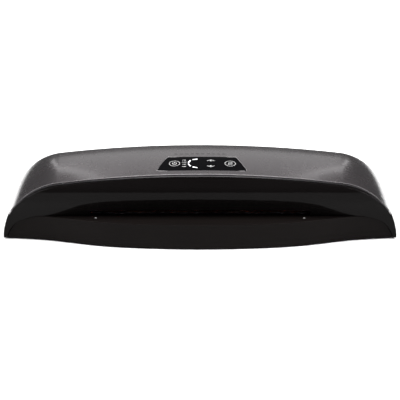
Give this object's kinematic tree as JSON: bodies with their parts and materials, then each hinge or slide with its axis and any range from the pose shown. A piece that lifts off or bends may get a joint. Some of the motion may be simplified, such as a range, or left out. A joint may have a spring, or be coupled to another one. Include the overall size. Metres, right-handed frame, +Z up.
{
  "type": "pouch laminator",
  "caption": "Desktop pouch laminator with an arched metallic cover, gloss black front, feed shelf, touch-key panel, and heated and exit roller pairs driven by a gear train.",
  "frame": {"origin": "on the resting surface under the middle of the machine's footprint", "axes": "+X along the width, to the right seen from the front; +Y to the back, where the pouch leaves; +Z up"},
  "size_m": [0.597, 0.165, 0.1175],
  "materials": {
    "cover_metallic": "metallic gunmetal paint on moulded plastic, smooth with a soft flake",
    "fascia_gloss": "piano black gloss",
    "case_satin": "satin black moulded plastic, fine spark texture",
    "trim_grey": "thin satin grey trim",
    "rubber_black": "soft black rubber",
    "silicone_red": "smooth heat-proof silicone rubber",
    "steel_plate": "zinc-plated sheet steel",
    "steel_ground": "ground steel shaft",
    "spring_wire": "drawn spring wire",
    "alloy": "extruded aluminium",
    "acetal_white": "natural acetal, slightly waxy",
    "bronze": "sintered bronze",
    "lens_black": "polished black lens",
    "key_black": "gloss black key with a light legend",
    "light_white": "frosted white light guide",
    "board_green": "printed circuit board, solder mask",
    "part_dark": "moulded component bodies",
    "mica_sheet": "pressed mica sheet"
  },
  "bodies": {
    "casing": {"base_housing": "case_satin", "board_parts": "part_dark", "board_stands": "acetal_white", "bracket_screws": "steel_plate", "bracket_standoffs": "steel_ground", "case_screws": "steel_plate", "control_board": "board_green", "entry_guide": "case_satin", "exit_guide": "case_satin", "exit_springs": "spring_wire", "feed_shelf": "case_satin", "foot_pads": "rubber_black", "frame_screws": "steel_plate", "front_fascia": "fascia_gloss", "gear_motor": "steel_plate", "guide_sheets": "steel_plate", "heat_shield": "steel_plate", "heater_elements": "mica_sheet", "heater_plate_lower": "alloy", "heater_plate_upper": "alloy", "hot_springs": "spring_wire", "idler_stud": "steel_ground", "inlet_blades": "bronze", "key_switches": "part_dark", "light_guide": "light_white", "mains_inlet": "part_dark", "motor_bracket": "steel_plate", "panel_lens": "lens_black", "power_board": "board_green", "rear_panel": "case_satin", "shaft_bushes": "bronze", "side_frame_left": "steel_plate", "side_frame_right": "steel_plate", "status_leds": "light_white", "thermal_cutout": "alloy", "tie_bars": "steel_ground", "top_cover": "cover_metallic", "transformer": "part_dark", "trim_strip": "trim_grey"},
    "hot_roller_lower": {"hot_shaft_lower": "steel_ground", "hot_sleeve_lower": "silicone_red", "hot_gear_lower": "acetal_white"},
    "hot_blocks": {"hot_bearing_blocks": "acetal_white"},
    "hot_roller_upper": {"hot_shaft_upper": "steel_ground", "hot_sleeve_upper": "silicone_red", "hot_gear_upper": "acetal_white"},
    "exit_roller_lower": {"exit_shaft_lower": "steel_ground", "exit_sleeve_lower": "silicone_red", "exit_gear_lower": "acetal_white"},
    "exit_blocks": {"exit_bearing_blocks": "acetal_white"},
    "exit_roller_upper": {"exit_shaft_upper": "steel_ground", "exit_sleeve_upper": "silicone_red", "exit_gear_upper": "acetal_white"},
    "idler": {"idler_gear": "acetal_white"},
    "motor_drive": {"motor_pinion": "bronze", "motor_shaft": "steel_ground"},
    "power_key": {"key_power": "key_black"},
    "reverse_key": {"key_reverse": "key_black"},
    "up_key": {"key_up": "key_black"},
    "down_key": {"key_down": "key_black"}
  },
  "joints": [
    {"name": "hot_lower_turn", "type": "hinge", "parent": "casing", "child": "hot_roller_lower", "pos_m": [0, -0.004, 0.03035], "axis": [1, 0, 0], "continuous": true},
    {"name": "hot_nip_lift", "type": "slide", "parent": "casing", "child": "hot_blocks", "axis": [0, 0, 1], "range_m": [0, 0.001], "stiffness_N_per_m": 4000, "springref_m": -0.002, "deforming": ["hot_springs"]},
    {"name": "hot_upper_turn", "type": "hinge", "parent": "hot_blocks", "child": "hot_roller_upper", "pos_m": [0, -0.004, 0.05265], "axis": [1, 0, 0], "continuous": true},
    {"name": "exit_lower_turn", "type": "hinge", "parent": "casing", "child": "exit_roller_lower", "pos_m": [0, 0.036, 0.03035], "axis": [1, 0, 0], "continuous": true},
    {"name": "exit_nip_lift", "type": "slide", "parent": "casing", "child": "exit_blocks", "axis": [0, 0, 1], "range_m": [0, 0.001], "stiffness_N_per_m": 4000, "springref_m": -0.002, "deforming": ["exit_springs"]},
    {"name": "exit_upper_turn", "type": "hinge", "parent": "exit_blocks", "child": "exit_roller_upper", "pos_m": [0, 0.036, 0.05265], "axis": [1, 0, 0], "continuous": true},
    {"name": "idler_turn", "type": "hinge", "parent": "casing", "child": "idler", "pos_m": [0, 0.016, 0.03035], "axis": [1, 0, 0], "continuous": true},
    {"name": "motor_turn", "type": "hinge", "parent": "casing", "child": "motor_drive", "pos_m": [0, 0.05393, 0.03192], "axis": [1, 0, 0], "continuous": true},
    {"name": "power_key_press", "type": "slide", "parent": "casing", "child": "power_key", "axis": [0, 0.2094, -0.9778], "range_m": [0, 0.0005], "stiffness_N_per_m": 600, "springref_m": -0.0005},
    {"name": "reverse_key_press", "type": "slide", "parent": "casing", "child": "reverse_key", "axis": [0, 0.2094, -0.9778], "range_m": [0, 0.0005], "stiffness_N_per_m": 600, "springref_m": -0.0005},
    {"name": "up_key_press", "type": "slide", "parent": "casing", "child": "up_key", "axis": [0, 0.2094, -0.9778], "range_m": [0, 0.0005], "stiffness_N_per_m": 600, "springref_m": -0.0005},
    {"name": "down_key_press", "type": "slide", "parent": "casing", "child": "down_key", "axis": [0, 0.2094, -0.9778], "range_m": [0, 0.0005], "stiffness_N_per_m": 600, "springref_m": -0.0005}
  ],
  "couplings": [
    {"joint": "hot_upper_turn", "follows": "hot_lower_turn", "ratio": -1},
    {"joint": "idler_turn", "follows": "hot_lower_turn", "ratio": -1.2222},
    {"joint": "exit_lower_turn", "follows": "hot_lower_turn", "ratio": 1},
    {"joint": "exit_upper_turn", "follows": "hot_lower_turn", "ratio": -1},
    {"joint": "motor_turn", "follows": "hot_lower_turn", "ratio": -1.5714}
  ]
}
